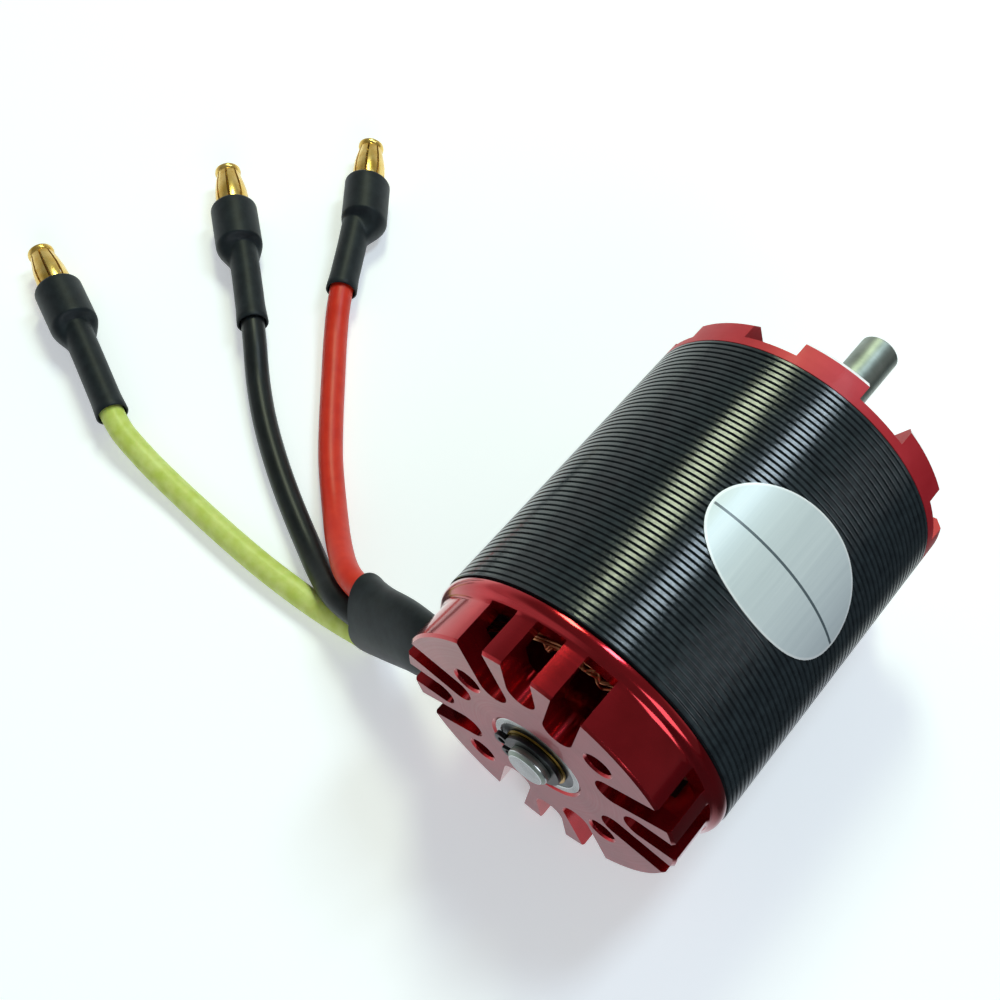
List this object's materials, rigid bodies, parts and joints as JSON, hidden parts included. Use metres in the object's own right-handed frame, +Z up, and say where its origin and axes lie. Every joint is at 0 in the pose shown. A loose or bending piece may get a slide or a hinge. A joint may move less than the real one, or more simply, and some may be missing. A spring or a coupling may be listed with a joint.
{
  "type": "brushless outrunner motor",
  "caption": "Brushless outrunner motor: finned black can and red front bell turn on a steel shaft round a fixed stator; red rear cap with mounting holes; leads with bullet plugs.",
  "frame": {"origin": "on the motor's axis at the rear mounting face", "axes": "+X along the shaft towards its output end, +Z up with the motor lying on its side, leads leave towards +Y"},
  "size_m": [0.0677, 0.1215, 0.0371],
  "materials": {
    "black_steel": "blackened, turned fins",
    "foil": "brushed foil",
    "red_anodised": "satin red anodised",
    "black_oxide": "black oxide",
    "magnet": "nickel plated",
    "bright_steel": "ground",
    "brass": "turned",
    "shield": "dark pressed steel",
    "tube_steel": "turned",
    "lamination": "stacked sheet",
    "insulator": "fibre sheet",
    "copper": "enamelled wire",
    "shrink_black": "heat shrink",
    "silicone_yellow": "silicone",
    "silicone_black": "silicone",
    "silicone_red": "silicone",
    "gold": "gold plated"
  },
  "bodies": {
    "stator": {"rear_bearing_outer_race": "bright_steel", "front_bearing_outer_race": "bright_steel", "rear_bearing_shields": "shield", "front_bearing_shields": "shield", "rear_cap": "red_anodised", "bearing_tube": "tube_steel", "stator_core": "lamination", "rear_insulator": "insulator", "front_insulator": "insulator", "winding_u": "copper", "winding_v": "copper", "winding_w": "copper", "winding_tails": "copper", "lead_sleeve": "shrink_black", "lead_yellow": "silicone_yellow", "lead_black": "silicone_black", "lead_red": "silicone_red", "plug_yellow": "gold", "plug_black": "gold", "plug_red": "gold", "plug_sleeve_yellow": "shrink_black", "plug_sleeve_black": "shrink_black", "plug_sleeve_red": "shrink_black"},
    "rotor": {"can": "black_steel", "can_label": "foil", "front_bell": "red_anodised", "bell_set_screws": "black_oxide", "rotor_magnets": "magnet", "shaft": "bright_steel", "rear_circlip": "black_oxide", "rear_shim": "brass", "front_spacer": "brass", "rear_bearing_inner_race": "bright_steel", "front_bearing_inner_race": "bright_steel"},
    "rear_ball_set": {"rear_bearing_balls": "bright_steel", "rear_bearing_cage": "brass"},
    "front_ball_set": {"front_bearing_balls": "bright_steel", "front_bearing_cage": "brass"}
  },
  "joints": [
    {"name": "rotor_spin", "type": "hinge", "parent": "stator", "child": "rotor", "pos_m": [0.025, 0, 0], "axis": [1, 0, 0], "continuous": true},
    {"name": "rear_cage_spin", "type": "hinge", "parent": "stator", "child": "rear_ball_set", "pos_m": [0.00265, 0, 0], "axis": [1, 0, 0], "continuous": true},
    {"name": "front_cage_spin", "type": "hinge", "parent": "stator", "child": "front_ball_set", "pos_m": [0.0388, 0, 0], "axis": [1, 0, 0], "continuous": true}
  ],
  "couplings": [
    {"joint": "rear_cage_spin", "follows": "rotor_spin", "ratio": 0.4},
    {"joint": "front_cage_spin", "follows": "rotor_spin", "ratio": 0.4}
  ]
}
